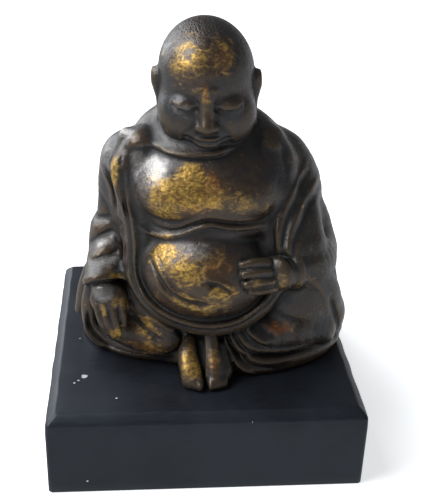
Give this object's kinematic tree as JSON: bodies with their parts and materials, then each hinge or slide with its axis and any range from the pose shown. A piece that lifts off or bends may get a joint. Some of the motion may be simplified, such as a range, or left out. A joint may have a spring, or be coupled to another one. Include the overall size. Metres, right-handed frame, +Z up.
{
  "type": "budai figure",
  "caption": "Seated cast-bronze budai figure in an open robe, hands resting on the knee and the belly, on a square bevelled plinth.",
  "frame": {"origin": "middle of the plinth's underside", "axes": "+Z up; the figure faces -Y; +X is to the right of a viewer who faces it"},
  "size_m": [0.12, 0.12, 0.1667],
  "materials": {
    "bronze": "dark brown to black patina on bronze, polished cooler on the heights, with rubbed gilding on brow, chest, belly and robe",
    "ebonised_wood": "satin black stained and lacquered hardwood with a faint grain and small pale chips"
  },
  "bodies": {
    "root": {"figure": "bronze", "plinth": "ebonised_wood"}
  },
  "joints": []
}
